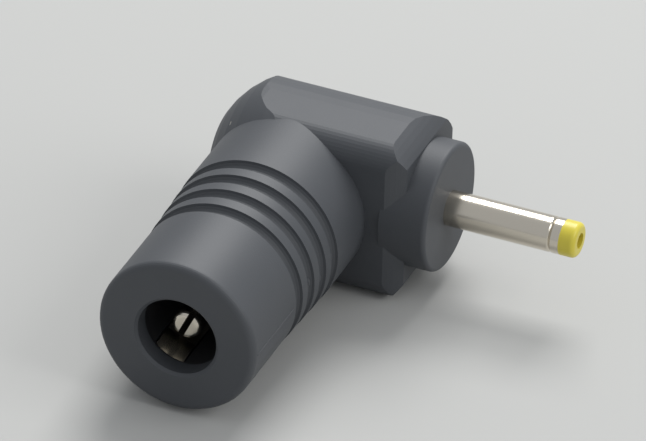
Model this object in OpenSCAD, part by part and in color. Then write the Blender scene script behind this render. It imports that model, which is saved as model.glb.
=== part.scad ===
// Right-angle DC power adapter: a socket for 5.5 x 2.1 mm plugs in the end of
// a moulded arm, and a 2.5 x 0.7 mm barrel plug on a round collar, square to it.
// The origin is the centre of the plug's shoulder, on the collar's end face.
// +X runs out along the plug, the socket opens towards -Y, and +Z is up when
// the adapter lies on its flat underside. All sizes are in millimetres.

/* [Socket arm] */
// Distance from the plug's axis to the mouth of the socket
socket_reach = 22.2; // [21:0.1:28]
// Diameter of the arm ahead of the grip grooves
arm_d = 11.4; // [11.2:0.1:12]
// Diameter of the arm behind the grip grooves
arm_rear_d = 12; // [11.8:0.1:12.6]
// Radius on the outer edge of the mouth
mouth_round = 0.5; // [0.2:0.05:1]
// Diameter of the opening in the moulding
mouth_d = 5.7; // [5.6:0.02:5.76]
// Bevel on the inner edge of that opening
mouth_bevel = 0.2; // [0.1:0.05:0.4]
// Thickness of the moulding ahead of the jack insert
lip = 1.4; // [1:0.1:1.5]

/* [Grip grooves] */
// Number of grooves round the arm
groove_count = 4; // [2:1:4]
// Distance from one groove to the next
groove_pitch = 1.8; // [1.5:0.05:1.9]
// Width of a groove
groove_w = 0.95; // [0.6:0.05:1.1]
// Depth of a groove
groove_depth = 0.45; // [0.2:0.05:0.5]
// Distance from the mouth to the middle of the first groove
first_groove = 7.4; // [6:0.1:7.6]

/* [Block] */
// Distance from the socket's axis to the plug's shoulder
shoulder_reach = 10.45; // [10.2:0.05:14]
// Distance from the socket's axis to the closed end of the block
closed_reach = 6.1; // [6:0.05:7]
// Height of the block
block_h = 12.1; // [12:0.1:13]
// Distance from the plug's axis to the front face of the block
block_front = 4.3; // [4.1:0.05:4.8]
// Distance from the plug's axis to the back of the block
block_back = 5.2; // [5:0.1:6.5]
// Radius on the long back edges of the block
back_round = 5.4; // [3:0.1:5.8]
// Radius on the long front edges of the block
front_round = 1.6; // [0.8:0.1:2]
// Radius on the edges of the closed end
closed_round = 3.2; // [2:0.1:3.6]
// Radius of the ball that rounds off the corners of the closed end
end_ball = 6.9; // [6.9:0.05:7.6]
// Length of the bevel between the block and the collar
block_bevel = 1.3; // [0.8:0.1:1.5]
// Diameter of the round collar that carries the plug
collar_d = 9.1; // [8.4:0.1:9.4]
// Length of the collar
collar_len = 1.8; // [1.4:0.1:2]
// Radius on the outer edge of the collar
collar_round = 0.3; // [0.1:0.05:0.5]

/* [Plug] */
// Diameter of the barrel
barrel_d = 2.5; // [2.4:0.05:3]
// Length of the plug ahead of its shoulder
plug_len = 9.5; // [8.5:0.1:12]
// Length of the plastic tip
tip_len = 1.15; // [0.8:0.05:1.4]
// Radius on the edge of the plastic tip
tip_round = 0.35; // [0.1:0.05:0.4]
// Wall of the barrel
barrel_wall = 0.3; // [0.2:0.02:0.34]
// Distance from the plastic tip back to the ring groove
ring_back = 0.7; // [0.4:0.05:1.2]
// Depth of the ring groove
ring_depth = 0.12; // [0.05:0.01:0.15]
// Bore of the centre contact
contact_bore = 0.7; // [0.6:0.02:0.8]
// Wall of the centre contact
contact_wall = 0.2; // [0.16:0.01:0.22]
// Depth of the centre contact's bore
contact_depth = 7; // [5:0.1:8]
// Distance from the plastic tip's end back to the centre contact
contact_recess = 0.4; // [0.2:0.05:0.6]

/* [Jack insert] */
// Depth of the socket from the mouth to the floor of the insert
socket_depth = 10; // [9.6:0.1:10.4]
// Thickness of the insert's floor
floor_t = 1.9; // [1.5:0.1:2.2]
// Outer diameter of the insert
insert_d = 8.4; // [8.2:0.1:8.6]
// Bore of the insert
insert_bore = 6.1; // [6:0.05:6.2]
// Diameter of the centre pin
pin_d = 2.1; // [1.95:0.05:2.5]
// Distance from the mouth back to the end of the pin
pin_recess = 1.6; // [1.5:0.05:2.4]
// Width of the slot that splits the pin
pin_slot = 0.45; // [0.3:0.05:0.5]
// Depth of that slot
pin_slot_depth = 3.6; // [3:0.1:3.8]
// Turn of the insert about its own axis, in degrees
insert_turn = 25; // [0:1:40]
// Width of the leaf that touches the mating plug's sleeve
leaf_w = 2.2; // [1.6:0.1:2.4]
// Thickness of the leaf
leaf_t = 0.25; // [0.2:0.01:0.3]
// Distance from the socket's axis to the crest of the leaf
leaf_crest = 2.6; // [2.5:0.02:2.7]
// Distance from the mouth back to that crest
crest_depth = 3.5; // [3.4:0.1:4.6]

/* [Inner moulding and wires] */
// Diameter of the inner moulding in the arm
inner_d = 9; // [8.9:0.1:9.2]
// Height of the inner moulding in the block
inner_h = 8.8; // [8.6:0.1:9.2]
// Wall of the outer moulding in front of the inner one
front_wall = 1.1; // [1:0.05:1.4]
// Wall of the outer moulding behind the inner one
back_wall = 2.6; // [2.4:0.1:3]
// Wall of the outer moulding at the closed end of the block
end_wall = 1.4; // [1.2:0.1:1.5]
// Distance from the shoulder to the end of the inner moulding
inner_end = 3.4; // [3.2:0.1:3.8]
// Diameter of a wire over its insulation
wire_d = 1.4; // [1.1:0.1:1.5]
// Diameter of a wire's conductor
core_d = 0.7; // [0.5:0.05:0.8]
// Bend radius of a wire
wire_bend = 3.4; // [3:0.1:3.5]
// Bare conductor at each end of a wire
bare_len = 0.8; // [0.7:0.05:0.9]

/* [Hidden] */
$fn = 96;

past = 1;                               // how far a cut runs past a face

// Outer moulding
arm_r = arm_d / 2;
arm_rear_r = arm_rear_d / 2;
collar_r = collar_d / 2;
mouth_y = -socket_reach;
arm_root_y = -block_front + 1.5;        // the arm ends inside the block
block_z = block_h / 2;
block_x = -shoulder_reach - closed_reach;
bevel_x = -collar_len - block_bevel;
bevel_drop = block_z - collar_r - 0.1;  // the bevel ends at the collar
bevel_front = 0.7;
bevel_sag = 0.12;

// Socket
insert_r = insert_d / 2;
bore_r = insert_bore / 2;
insert_y = mouth_y + lip;
floor_y = mouth_y + socket_depth;
insert_back = floor_y + floor_t;
key_w = 0.9;                            // groove that keys the insert
key_depth = 0.3;
key_y = insert_back - 2.6;
pin_r = pin_d / 2;
pin_tip_y = mouth_y + pin_recess;
pin_round = 0.4;
neck_r = 0.7 * pin_r;
rivet_r = pin_r + 0.35;
rivet_t = 0.5;
core_r = core_d / 2;
cup_r = core_r + 0.2;                   // solder cups
cup_depth = 0.8;
tail_y = insert_back + 2;

// Leaf, in a pocket in the insert's wall
leaf_seat = bore_r + 0.25;
leaf_back = leaf_seat + leaf_t;
crest_y = mouth_y + crest_depth;
leaf_front_y = crest_y - 1.6;
leaf_root_y = floor_y - 1.8;
pocket_w = leaf_w + 0.2;
pocket_y = leaf_front_y - 0.15;
leaf_tail_w = 1.2;

// Plug
barrel_r = barrel_d / 2;
tube_r = barrel_r - barrel_wall;
barrel_x = plug_len - tip_len;
ring_w = 0.24;
contact_r = contact_bore / 2 + contact_wall;
contact_x = plug_len - contact_recess;
lock_r = barrel_r - 0.2;                // neck that the moulding grips
lock_w = 0.9;
boss_r = barrel_r + 0.5;
flange_r = boss_r + 0.8;
flange_x = -2.6;
flange_t = 0.7;
boss_x = -inner_end - 1;
tag_t = 0.3;
tag_x = boss_x - tag_t;
spigot_r = barrel_r;                    // end of the barrel, in the tag
bush_r = boss_r;
bush_x = tag_x - 0.6;
liner_x = flange_x;                     // liner and bush meet here
plug_tail_x = bush_x - cup_depth;

// Wires: the positive one at the height of both axes, the other below it
leaf_wire_r = leaf_seat + leaf_t / 2;
negative_x = -shoulder_reach - leaf_wire_r * sin(insert_turn);
negative_z = -leaf_wire_r * cos(insert_turn);
wire_r = wire_d / 2;
solder_r = core_r + 0.4;
solder_len = bare_len - 0.15;
tag_r = boss_r + 0.4;
tag_w = 1.6;
tag_drop = -negative_z + core_r + 0.3;

// Inner moulding
inner_r = inner_d / 2;
inner_z = inner_h / 2;
inner_front = block_front - front_wall;
inner_back = block_back - back_wall;
inner_round = 1;

// Points of an arc about the centre c, from the angle a to the angle b
function arc(c, r, a, b, n = 10) =
    [for (i = [0:n]) c + r * [cos(a + (b - a) * i / n), sin(a + (b - a) * i / n)]];

// Outline of a box whose corners have a front and a back radius
function section(front, back, z, rf, rb) = concat(
    arc([-front + rf, -z + rf], rf, 180, 270),
    arc([back - rb, -z + rb], rb, 270, 360),
    arc([back - rb, z - rb], rb, 0, 90),
    arc([-front + rf, z - rf], rf, 90, 180));

// Points between a and b on a shallow outward curve
function bulge(a, b, sag, n = 4) =
    let (d = b - a, out = [d[1], -d[0]] / norm(d))
    [for (i = [0:n]) a + d * i / n + out * sag * sin(180 * i / n)];

function groove_y(i) = mouth_y + first_groove + i * groove_pitch;
// The arm steps up a little from each groove to the next
function rib_r(i) = arm_r + (arm_rear_r - arm_r) * i / groove_count;
function groove(i, n = 8) =
    [for (k = [0:n])
        [rib_r(i) + (rib_r(i + 1) - rib_r(i)) * k / n - groove_depth * sin(180 * k / n),
         groove_y(i) - groove_w / 2 * cos(180 * k / n)]];

// Turned about the socket's axis, from a profile of [radius, y]
module turned_y() {
    translate([-shoulder_reach, 0, 0]) rotate([-90, 0, 0])
        rotate_extrude() children();
}

// A rod along the socket's axis between two places
module rod_y(r, y0, y1) {
    translate([-shoulder_reach, y0, 0]) rotate([-90, 0, 0])
        cylinder(r = r, h = y1 - y0);
}

// A rod along the plug's axis between two places
module rod_x(r, x0, x1) {
    translate([x0, 0, 0]) rotate([0, 90, 0]) cylinder(r = r, h = x1 - x0);
}

// Places its children as the insert is turned about the socket's axis
module at_insert() {
    translate([-shoulder_reach, 0, 0]) rotate([0, insert_turn, 0]) children();
}

// ---- Outer moulding ----

module arm() {
    turned_y() polygon(concat(
        [[0, mouth_y]],
        arc([arm_r - mouth_round, mouth_y + mouth_round], mouth_round, 270, 360, 6),
        [for (i = [0:groove_count - 1]) each groove(i)],
        [[arm_rear_r, arm_root_y], [0, arm_root_y]]));
}

module block() {
    intersection() {
        translate([block_x - past, 0, 0]) rotate([90, 0, 90])
            linear_extrude(-block_x + past - collar_len / 2)
                polygon(section(block_front, block_back, block_z, front_round, back_round));
        translate([0, block_back + past, 0]) rotate([90, 0, 0])
            linear_extrude(block_front + block_back + 2 * past)
                polygon(concat(
                    arc([block_x + closed_round, -block_z + closed_round], closed_round, 180, 270),
                    bulge([bevel_x, -block_z], [-collar_len, -block_z + bevel_drop], bevel_sag),
                    bulge([-collar_len, block_z - bevel_drop], [bevel_x, block_z], bevel_sag),
                    arc([block_x + closed_round, block_z - closed_round], closed_round, 90, 180)));
        translate([0, 0, -block_z - past]) linear_extrude(block_h + 2 * past)
            polygon(concat(
                arc([block_x + front_round, -block_front + front_round], front_round, 180, 270),
                bulge([bevel_x, -block_front], [-collar_len, -block_front + bevel_front],
                      bevel_sag / 2),
                bulge([-collar_len, block_back - bevel_front], [bevel_x, block_back],
                      bevel_sag / 2),
                arc([block_x + closed_round, block_back - closed_round], closed_round, 90, 180)));
        rotate([90, 0, 90]) rotate_extrude() polygon(concat(
            arc([0, -shoulder_reach], end_ball, 270, 360),
            [[end_ball, 0], [0, 0]]));
    }
}

module collar() {
    rotate([90, 0, 90]) translate([0, 0, -inner_end]) rotate_extrude()
        polygon(concat(
            [[0, 0], [collar_r, 0]],
            arc([collar_r - collar_round, inner_end - collar_round], collar_round, 0, 90, 6),
            [[0, inner_end]]));
}

module overmould_body() {
    color("#33363c") difference() {
        union() {
            arm();
            block();
            collar();
        }
        turned_y() polygon([
            [0, mouth_y - past], [mouth_d / 2 + mouth_bevel, mouth_y - past],
            [mouth_d / 2 + mouth_bevel, mouth_y], [mouth_d / 2, mouth_y + mouth_bevel],
            [mouth_d / 2, insert_y + past / 2], [0, insert_y + past / 2]]);
        insert_outside();
        inner_outside();
        barrel_outside();
    }
}

// ---- Inner moulding ----

module inner_outside() {
    rod_y(inner_r, insert_back, inner_back - inner_round);
    translate([block_x + end_wall, 0, 0]) rotate([90, 0, 90])
        linear_extrude(-block_x - end_wall - inner_end)
            polygon(section(inner_front, inner_back, inner_z, inner_round, inner_round));
}

module inner_mould() {
    color("#e6e2d6") difference() {
        union() inner_outside();
        centre_pin();
        rod_y(cup_r, tail_y - cup_depth, tail_y);
        leaf_spring();
        barrel_outside();
        barrel_tag();
        rod_x(bush_r, bush_x, tag_x);
        rod_x(cup_r, plug_tail_x, bush_x);
        wire(wire_r, -shoulder_reach, 0, plug_tail_x, bare_len);
        wire(wire_r, negative_x, negative_z, tag_x, bare_len);
        wire(core_r, -shoulder_reach, 0, plug_tail_x, 0);
        wire(core_r, negative_x, negative_z, tag_x, 0);
        solder_blobs();
    }
}

// ---- Socket ----

module insert_outside() {
    turned_y() polygon([
        [0, insert_y], [insert_r, insert_y], [insert_r, key_y],
        [insert_r - key_depth, key_y], [insert_r - key_depth, key_y + key_w],
        [insert_r, key_y + key_w], [insert_r, insert_back], [0, insert_back]]);
}

module jack_insert() {
    color("#1c1c1e") difference() {
        insert_outside();
        rod_y(bore_r, insert_y - past, floor_y);
        at_insert() translate([-pocket_w / 2, pocket_y, -leaf_back])
            cube([pocket_w, floor_y - pocket_y, leaf_back - bore_r / 2]);
        centre_pin();
        leaf_spring();
    }
}

module centre_pin() {
    color("#c9b89a") difference() {
        turned_y() polygon(concat(
            [[0, pin_tip_y]],
            arc([pin_r - pin_round, pin_tip_y + pin_round], pin_round, 270, 360, 6),
            [[pin_r, floor_y], [neck_r, floor_y], [neck_r, insert_back],
             [rivet_r, insert_back], [rivet_r, insert_back + rivet_t],
             [cup_r, insert_back + rivet_t], [cup_r, tail_y],
             [core_r, tail_y], [core_r, tail_y - cup_depth], [0, tail_y - cup_depth]]));
        at_insert() translate([-pin_slot / 2, pin_tip_y - past, -pin_r - past])
            cube([pin_slot, pin_slot_depth + past, 2 * (pin_r + past)]);
    }
}

// The leaf rises from its seat to the crest and curls back at the mouth
module leaf_spring() {
    line = [[leaf_seat, tail_y], [leaf_seat, leaf_root_y],
            [leaf_crest + 0.12, crest_y + 0.7], [leaf_crest, crest_y],
            [leaf_crest + 0.1, crest_y - 0.6], [leaf_seat - 0.1, leaf_front_y]];
    color("#cfc7b4") difference() {
        at_insert() translate([-leaf_w / 2, 0, 0]) rotate([0, 90, 0])
            linear_extrude(leaf_w) polygon(concat(
                line, [for (i = [len(line) - 1:-1:0]) line[i] + [leaf_t, 0]]));
        for (side = [-1, 1])
            at_insert() translate([side * (leaf_w + leaf_tail_w) / 2 - leaf_w / 2,
                                   floor_y, -leaf_back - past])
                cube([leaf_w, tail_y - floor_y + past, leaf_t + 2 * past]);
    }
}

// ---- Plug ----

// All that the barrel fills, with its bore closed
module barrel_outside() {
    rotate([90, 0, 90]) rotate_extrude() polygon([
        [0, tag_x], [spigot_r, tag_x], [spigot_r, boss_x], [boss_r, boss_x],
        [boss_r, flange_x - flange_t], [flange_r, flange_x - flange_t],
        [flange_r, flange_x], [boss_r, flange_x], [boss_r, -lock_w], [lock_r, -lock_w], [lock_r, 0], [barrel_r, 0],
        [barrel_r, barrel_x], [0, barrel_x]]);
}

module plug_barrel() {
    ring_x = barrel_x - ring_back;
    color("#c4bda9") difference() {
        barrel_outside();
        rod_x(tube_r, tag_x - past, barrel_x + past);
        rotate([90, 0, 90]) rotate_extrude() polygon([
            [barrel_r + past, ring_x - ring_w / 2 - past],
            [barrel_r, ring_x - ring_w / 2], [barrel_r - ring_depth, ring_x],
            [barrel_r, ring_x + ring_w / 2],
            [barrel_r + past, ring_x + ring_w / 2 + past]]);
    }
}

module tip_insulator() {
    color("#d6c83a") rotate([90, 0, 90]) rotate_extrude() polygon(concat(
        [[contact_r, liner_x], [tube_r, liner_x], [tube_r, barrel_x], [barrel_r, barrel_x]],
        arc([barrel_r - tip_round, plug_len - tip_round], tip_round, 0, 90, 6),
        [[contact_r, plug_len]]));
}

module centre_contact() {
    color("#d8b25a") rotate([90, 0, 90]) rotate_extrude() polygon([
        [0, contact_x - contact_depth], [contact_bore / 2, contact_x - contact_depth],
        [contact_bore / 2, contact_x], [contact_r, contact_x], [contact_r, plug_tail_x],
        [core_r, plug_tail_x], [core_r, plug_tail_x + cup_depth],
        [0, plug_tail_x + cup_depth]]);
}

module rear_bush() {
    color("#26262a") rotate([90, 0, 90]) rotate_extrude() polygon([
        [contact_r, bush_x], [bush_r, bush_x], [bush_r, tag_x], [tube_r, tag_x],
        [tube_r, liner_x], [contact_r, liner_x]]);
}

// A ring on the end of the barrel, with an ear down to the negative wire
module barrel_tag() {
    color("#cfc7b4") difference() {
        union() {
            rod_x(tag_r, tag_x, boss_x);
            translate([tag_x, -tag_w / 2, -tag_drop])
                cube([tag_t, tag_w, tag_drop]);
        }
        rod_x(spigot_r, tag_x - past, boss_x + past);
    }
}

// ---- Wires ----

// From a tail of the socket, round a bend and along to a tail of the plug
module wire(r, x, z, end_x, bare) {
    y0 = tail_y + bare;
    translate([x, 0, z]) {
        translate([0, y0, 0]) rotate([-90, 0, 0]) cylinder(r = r, h = -wire_bend - y0);
        translate([wire_bend, -wire_bend, 0]) rotate([0, 0, 90])
            rotate_extrude(angle = 90) translate([wire_bend, 0]) circle(r = r);
        translate([wire_bend, 0, 0]) rotate([0, 90, 0])
            cylinder(r = r, h = end_x - bare - x - wire_bend);
    }
}

module positive_conductor() {
    color("#b87333") {
        wire(core_r, -shoulder_reach, 0, plug_tail_x, 0);
        rod_y(core_r, tail_y - cup_depth, tail_y);
        rod_x(core_r, plug_tail_x, plug_tail_x + cup_depth);
    }
}

module positive_insulation() {
    color("#b3262a") difference() {
        wire(wire_r, -shoulder_reach, 0, plug_tail_x, bare_len);
        wire(core_r, -shoulder_reach, 0, plug_tail_x, 0);
    }
}

module negative_conductor() {
    color("#b87333") wire(core_r, negative_x, negative_z, tag_x, 0);
}

module negative_insulation() {
    color("#2a2a2c") difference() {
        wire(wire_r, negative_x, negative_z, tag_x, bare_len);
        wire(core_r, negative_x, negative_z, tag_x, 0);
    }
}

// Solder round the bare ends, thickest at the tail
module solder_blobs() {
    for (p = [[-shoulder_reach, 0], [negative_x, negative_z]])
        translate([p[0], tail_y, p[1]]) rotate([-90, 0, 0])
            cylinder(r1 = solder_r, r2 = core_r + 0.1, h = solder_len);
    for (p = [[plug_tail_x, 0], [tag_x, negative_z]])
        translate([p[0], 0, p[1]]) rotate([0, -90, 0])
            cylinder(r1 = solder_r, r2 = core_r + 0.1, h = solder_len);
}

module solder_joints() {
    color("#b9bcc0") difference() {
        solder_blobs();
        wire(core_r, -shoulder_reach, 0, plug_tail_x, 0);
        wire(core_r, negative_x, negative_z, tag_x, 0);
    }
}

overmould_body();
inner_mould();
jack_insert();
centre_pin();
leaf_spring();
plug_barrel();
tip_insulator();
centre_contact();
barrel_tag();
rear_bush();
positive_conductor();
positive_insulation();
negative_conductor();
negative_insulation();
solder_joints();
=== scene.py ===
# %% [markdown]
# # A right-angle DC adapter
# A small power adapter: a grooved arm with a socket in its end, and a plated
# barrel plug with a yellow tip, square to it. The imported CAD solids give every
# size and place. Here they get their finish, and the marks that moulding
# leaves are modelled on top.

# %% Load the frame
import math

import bpy
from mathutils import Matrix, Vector


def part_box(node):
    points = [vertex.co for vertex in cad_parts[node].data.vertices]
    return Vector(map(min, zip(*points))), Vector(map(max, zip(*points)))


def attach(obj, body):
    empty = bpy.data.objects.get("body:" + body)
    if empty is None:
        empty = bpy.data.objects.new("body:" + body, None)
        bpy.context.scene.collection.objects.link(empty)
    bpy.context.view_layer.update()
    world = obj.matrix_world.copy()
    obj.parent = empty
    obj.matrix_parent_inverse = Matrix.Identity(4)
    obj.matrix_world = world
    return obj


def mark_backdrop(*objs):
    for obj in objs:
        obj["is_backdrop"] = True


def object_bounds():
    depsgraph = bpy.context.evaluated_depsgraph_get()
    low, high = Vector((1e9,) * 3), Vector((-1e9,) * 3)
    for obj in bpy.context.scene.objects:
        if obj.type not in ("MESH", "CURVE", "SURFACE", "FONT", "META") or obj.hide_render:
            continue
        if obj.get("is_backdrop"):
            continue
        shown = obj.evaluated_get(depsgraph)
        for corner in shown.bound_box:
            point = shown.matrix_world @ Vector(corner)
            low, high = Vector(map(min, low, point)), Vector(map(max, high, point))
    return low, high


MM = 0.001
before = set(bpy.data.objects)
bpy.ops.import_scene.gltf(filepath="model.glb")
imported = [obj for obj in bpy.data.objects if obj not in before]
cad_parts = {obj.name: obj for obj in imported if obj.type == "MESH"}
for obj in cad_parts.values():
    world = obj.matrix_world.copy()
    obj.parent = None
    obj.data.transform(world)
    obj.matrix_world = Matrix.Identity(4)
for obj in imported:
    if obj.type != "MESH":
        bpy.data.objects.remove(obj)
bounds_at_load = [list(corner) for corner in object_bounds()]
print("size in mm:", [round((b - a) / MM, 2) for a, b in zip(*bounds_at_load)])

# %% [markdown]
# ## Places from the frame
# The adapter is an elbow. The socket's axis runs along Y through the middle of
# the jack insert, and the plug's axis is the X axis. The socket's axis, the
# mouth and the floor are read from the boxes of the solids. A box can't tell
# the arm's radius or where its grooves lie, so those sizes are repeated below.

# %% Axes and faces
insert_low, insert_high = (Vector(c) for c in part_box("jack_insert"))
body_low = Vector(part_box("overmould_body")[0])
socket_x = (insert_low.x + insert_high.x) / 2
mouth_y = body_low.y
floor_z = body_low.z
print("socket axis at x =", round(socket_x / MM, 2), "mm; mouth at y =", round(mouth_y / MM, 2))

# %% [markdown]
# ## Mottling shared by the plastics
# Moulded PVC is never one flat grey: it has faint clouds from the flow and a
# fine satin grain. One node group makes both from Object coordinates, so they
# stay on the surface in every view, and each material sets its own strength.


# %% Node group
def make_mottle_group():
    group = bpy.data.node_groups.new("mottle", "ShaderNodeTree")
    face = group.interface
    face.new_socket("Base", in_out="INPUT", socket_type="NodeSocketColor")
    face.new_socket("Cloud", in_out="INPUT", socket_type="NodeSocketColor")
    face.new_socket("Cloud Scale", in_out="INPUT", socket_type="NodeSocketFloat")
    face.new_socket("Grain Scale", in_out="INPUT", socket_type="NodeSocketFloat")
    face.new_socket("Color", in_out="OUTPUT", socket_type="NodeSocketColor")
    face.new_socket("Height", in_out="OUTPUT", socket_type="NodeSocketFloat")
    nodes, links = group.nodes, group.links
    entry = nodes.new("NodeGroupInput")
    leave = nodes.new("NodeGroupOutput")
    place = nodes.new("ShaderNodeTexCoord")
    cloud = nodes.new("ShaderNodeTexNoise")
    cloud.inputs["Detail"].default_value = 4
    grain = nodes.new("ShaderNodeTexNoise")
    grain.inputs["Detail"].default_value = 2
    mix = nodes.new("ShaderNodeMix")
    mix.data_type = "RGBA"
    color_a, color_b = (s for s in mix.inputs if s.type == "RGBA")
    color_out = next(s for s in mix.outputs if s.type == "RGBA")
    links.new(place.outputs["Object"], cloud.inputs["Vector"])
    links.new(place.outputs["Object"], grain.inputs["Vector"])
    links.new(entry.outputs["Cloud Scale"], cloud.inputs["Scale"])
    links.new(entry.outputs["Grain Scale"], grain.inputs["Scale"])
    links.new(cloud.outputs["Fac"], mix.inputs["Factor"])
    links.new(entry.outputs["Base"], color_a)
    links.new(entry.outputs["Cloud"], color_b)
    links.new(color_out, leave.inputs["Color"])
    links.new(grain.outputs["Fac"], leave.inputs["Height"])
    return group


mottle = make_mottle_group()
print("node group:", mottle.name)

# %% [markdown]
# ## Plastics and metals
# Every finish is one Principled shader. The plastics take their colour and a
# fine bump from the mottle group. The plated metal is a smooth, warm nickel,
# which takes its light and dark from what it reflects, not from paint.


# %% Materials
CLOUD_SCALE = 260                       # clouds a few millimetres across
GRAIN_SCALE = 9000                      # grain of about a tenth of a millimetre
RELIEF = 0.02 * MM                      # height of the grain


def plastic(name, base, cloud, roughness, bump, specular=0.5):
    material = bpy.data.materials.new(name)
    material.use_nodes = True
    nodes, links = material.node_tree.nodes, material.node_tree.links
    shader = nodes["Principled BSDF"]
    shader.inputs["Roughness"].default_value = roughness
    shader.inputs["Specular IOR Level"].default_value = specular
    skin = nodes.new("ShaderNodeGroup")
    skin.node_tree = mottle
    skin.inputs["Base"].default_value = (*base, 1)
    skin.inputs["Cloud"].default_value = (*cloud, 1)
    skin.inputs["Cloud Scale"].default_value = CLOUD_SCALE
    skin.inputs["Grain Scale"].default_value = GRAIN_SCALE
    relief = nodes.new("ShaderNodeBump")
    relief.inputs["Strength"].default_value = bump
    relief.inputs["Distance"].default_value = RELIEF
    links.new(skin.outputs["Color"], shader.inputs["Base Color"])
    links.new(skin.outputs["Height"], relief.inputs["Height"])
    links.new(relief.outputs["Normal"], shader.inputs["Normal"])
    return material


def metal(name, base, roughness):
    material = bpy.data.materials.new(name)
    material.use_nodes = True
    shader = material.node_tree.nodes["Principled BSDF"]
    shader.inputs["Base Color"].default_value = (*base, 1)
    shader.inputs["Metallic"].default_value = 1
    shader.inputs["Roughness"].default_value = roughness
    return material


black_pvc = plastic("black_pvc", (0.052, 0.057, 0.064), (0.064, 0.068, 0.076), 0.55, 0.35)
inner_plastic = plastic("inner_plastic", (0.74, 0.7, 0.6), (0.8, 0.77, 0.68), 0.5, 0.1)
insert_plastic = plastic("insert_plastic", (0.02, 0.02, 0.022), (0.03, 0.03, 0.032), 0.4, 0.1)
yellow_plastic = plastic("yellow_plastic", (0.62, 0.52, 0.045), (0.7, 0.6, 0.07), 0.35, 0.05)
red_pvc = plastic("red_pvc", (0.42, 0.02, 0.02), (0.5, 0.04, 0.03), 0.4, 0.1)
nickel = metal("plated_metal", (0.66, 0.61, 0.52), 0.2)
contact_brass = metal("contact_brass", (0.66, 0.46, 0.18), 0.25)
copper = metal("copper", (0.65, 0.32, 0.16), 0.35)
solder = metal("solder", (0.55, 0.56, 0.57), 0.35)
print("materials:", len(bpy.data.materials))

# %% [markdown]
# ## Finish on the CAD solids
# The solids already have the right shape, so they stay, and only the material
# in each slot changes.

# %% Assign
FINISH = {
    "overmould_body": black_pvc,
    "inner_mould": inner_plastic,
    "jack_insert": insert_plastic,
    "centre_pin": nickel,
    "leaf_spring": nickel,
    "plug_barrel": nickel,
    "tip_insulator": yellow_plastic,
    "centre_contact": contact_brass,
    "barrel_tag": nickel,
    "rear_bush": insert_plastic,
    "positive_conductor": copper,
    "positive_insulation": red_pvc,
    "negative_conductor": copper,
    "negative_insulation": black_pvc,
    "solder_joints": solder,
}
for node_name, finish in FINISH.items():
    node_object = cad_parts[node_name]
    for material_slot in node_object.material_slots:
        material_slot.material = finish
print("finished nodes:", len(FINISH))

# %% [markdown]
# ## The parting line
# The moulding comes out of a two-part tool, which closes on the plane of both
# axes and leaves a hair of flash on each side of the arm. It could be a line in
# the material, but real flash catches the light, so it is a thin strip: a cube
# stretched in edit mode, with its edges softened by a bevel.


# %% Helpers for small marks
def start_mark(name):
    mark = bpy.context.object
    mark.name = name
    mark.data.name = name
    bpy.ops.object.transform_apply(location=True, rotation=True, scale=True)
    return mark


def finish_mark(mark, material):
    mark.data.materials.append(material)
    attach(mark, "root")


def add_strip(name, low, high, edge):
    bpy.ops.object.select_all(action="DESELECT")
    bpy.ops.mesh.primitive_cube_add(size=1, location=(Vector(low) + Vector(high)) / 2)
    size = Vector(high) - Vector(low)
    bpy.ops.object.mode_set(mode="EDIT")
    bpy.ops.transform.resize(value=size)
    bpy.ops.mesh.bevel(offset=edge, segments=2, affect="EDGES")
    bpy.ops.object.mode_set(mode="OBJECT")
    strip = start_mark(name)
    bpy.ops.object.shade_smooth_by_angle(angle=math.radians(40))
    finish_mark(strip, black_pvc)
    return strip


# %% Flash on both sides of the arm
flash_half = 0.05 * MM                  # half the width of the line
flash_rise = 0.04 * MM                  # how far it stands proud
flash_sink = 0.15 * MM                  # how far it is sunk in the arm
flash_edge = 0.02 * MM                  # bevel on its edges
arm_front_r = 5.7 * MM
plain_length = 6.5 * MM                 # smooth stretch ahead of the grooves
mouth_round = 0.5 * MM
flash_strips = [
    add_strip(
        "parting_flash_" + side_name,
        (socket_x + side * arm_front_r - (flash_sink if side > 0 else flash_rise),
         mouth_y + mouth_round, -flash_half),
        (socket_x + side * arm_front_r + (flash_rise if side > 0 else flash_sink),
         mouth_y + plain_length, flash_half),
        flash_edge)
    for side, side_name in ((1, "right"), (-1, "left"))
]
print("flash strips:", [strip.name for strip in flash_strips])

# %% [markdown]
# ## Torn nibs in the grooves
# Where the two halves of the tool meet inside the grooves, the soft plastic
# tears a little as it leaves. Each nib is a small ball, pulled long and flat in
# edit mode, half sunk in the floor of a groove.


# %% Nibs
def add_nib(name, centre, size):
    bpy.ops.object.select_all(action="DESELECT")
    bpy.ops.mesh.primitive_uv_sphere_add(segments=16, ring_count=10, radius=0.5, location=centre)
    bpy.ops.object.mode_set(mode="EDIT")
    bpy.ops.transform.resize(value=size)
    bpy.ops.object.mode_set(mode="OBJECT")
    nib = start_mark(name)
    bpy.ops.object.shade_smooth()
    finish_mark(nib, black_pvc)
    return nib


groove_pitch = 1.8 * MM
first_groove = 7.4 * MM
groove_floor_r = 5.35 * MM              # floor of the first groove with a nib
floor_rise = 0.1 * MM / 3               # each floor lies a little further out
nib_shift = 0.15 * MM                   # nibs sit behind the groove's middle
nib_size = (0.5 * MM, 0.35 * MM, 0.8 * MM)
nibs = []
for index, height in ((1, 0.3), (2, -0.4), (3, 0.2)):
    nib_y = mouth_y + first_groove + index * groove_pitch + nib_shift
    nib_centre = (socket_x + groove_floor_r + floor_rise * index, nib_y, height * MM)
    nibs.append(add_nib("groove_nib_" + str(index), nib_centre, nib_size))
print("nibs:", len(nibs))

# %% [markdown]
# ## Light, paper and camera
# The adapter lies on pale paper under soft light from above, behind and to its
# right. A large area light gives the soft shadow, and a pale world fills it.
# The camera looks down along the elbow from far away, so lines stay parallel.

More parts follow.
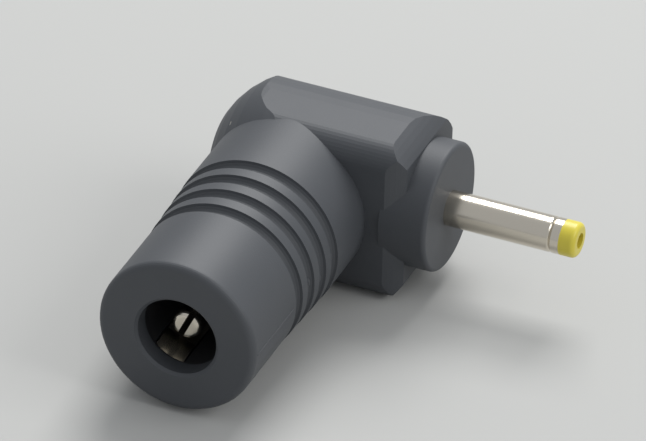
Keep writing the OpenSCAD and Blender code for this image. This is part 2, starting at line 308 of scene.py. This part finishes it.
# %% Floor
bpy.ops.object.select_all(action="DESELECT")
bpy.ops.mesh.primitive_plane_add(size=4, location=(0, 0, floor_z))
paper = bpy.context.object
paper.name = "paper"
paper_material = bpy.data.materials.new("paper")
paper_material.use_nodes = True
paper_shader = paper_material.node_tree.nodes["Principled BSDF"]
paper_shader.inputs["Base Color"].default_value = (0.47, 0.47, 0.455, 1)
paper_shader.inputs["Roughness"].default_value = 0.9
paper.data.materials.append(paper_material)
paper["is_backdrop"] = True
print("paper at z =", round(floor_z / MM, 2), "mm")

# %% Lights
world = bpy.data.worlds.new("room")
bpy.context.scene.world = world
world.use_nodes = True
room = world.node_tree.nodes["Background"]
room.inputs["Color"].default_value = (0.93, 0.96, 1, 1)
room.inputs["Strength"].default_value = 0.55


def add_light(name, place, size, power):
    light = bpy.data.lights.new(name, "AREA")
    light.size = size
    light.energy = power
    lamp = bpy.data.objects.new(name, light)
    lamp.location = place
    lamp.rotation_mode = "QUATERNION"
    lamp.rotation_quaternion = (-Vector(place)).to_track_quat("-Z", "Y")
    bpy.context.scene.collection.objects.link(lamp)
    return lamp


window = add_light("window", (-0.05, 0.32, 0.4), 0.3, 2.4)
side_light = add_light("side", (0.4, 0.0, 0.3), 0.3, 0.8)
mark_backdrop(window, side_light)
print("lights:", window.name, side_light.name)

# %% Camera
LENS = 501.8                            # very long, so parallels stay parallel
CAMERA_PLACE = (0.18607, -0.47288, 0.33781)
CAMERA_TURN = (56.268, -1.301, 23.316)  # degrees about X, Y and Z
camera_data = bpy.data.cameras.new("camera")
camera_data.sensor_width = 36
camera_data.lens = LENS
camera_data.clip_start = 0.01
camera_data.clip_end = 10
camera = bpy.data.objects.new("camera", camera_data)
camera.location = CAMERA_PLACE
camera.rotation_euler = [math.radians(turn) for turn in CAMERA_TURN]
bpy.context.scene.collection.objects.link(camera)
bpy.context.scene.camera = camera
bpy.context.scene.view_settings.view_transform = "Standard"
print("camera is", round(camera.location.length, 3), "m away")

# %% [markdown]
# ## Size kept for comparison
# The finish must not change the object's size, so its box is written down as
# loaded and as finished.

# %% Finish
bounds_at_end = [list(corner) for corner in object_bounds()]
growth = [[round((b - a) / MM, 3) for a, b in zip(*corners)]
          for corners in zip(bounds_at_load, bounds_at_end)]
print("corners moved by mm:", growth)
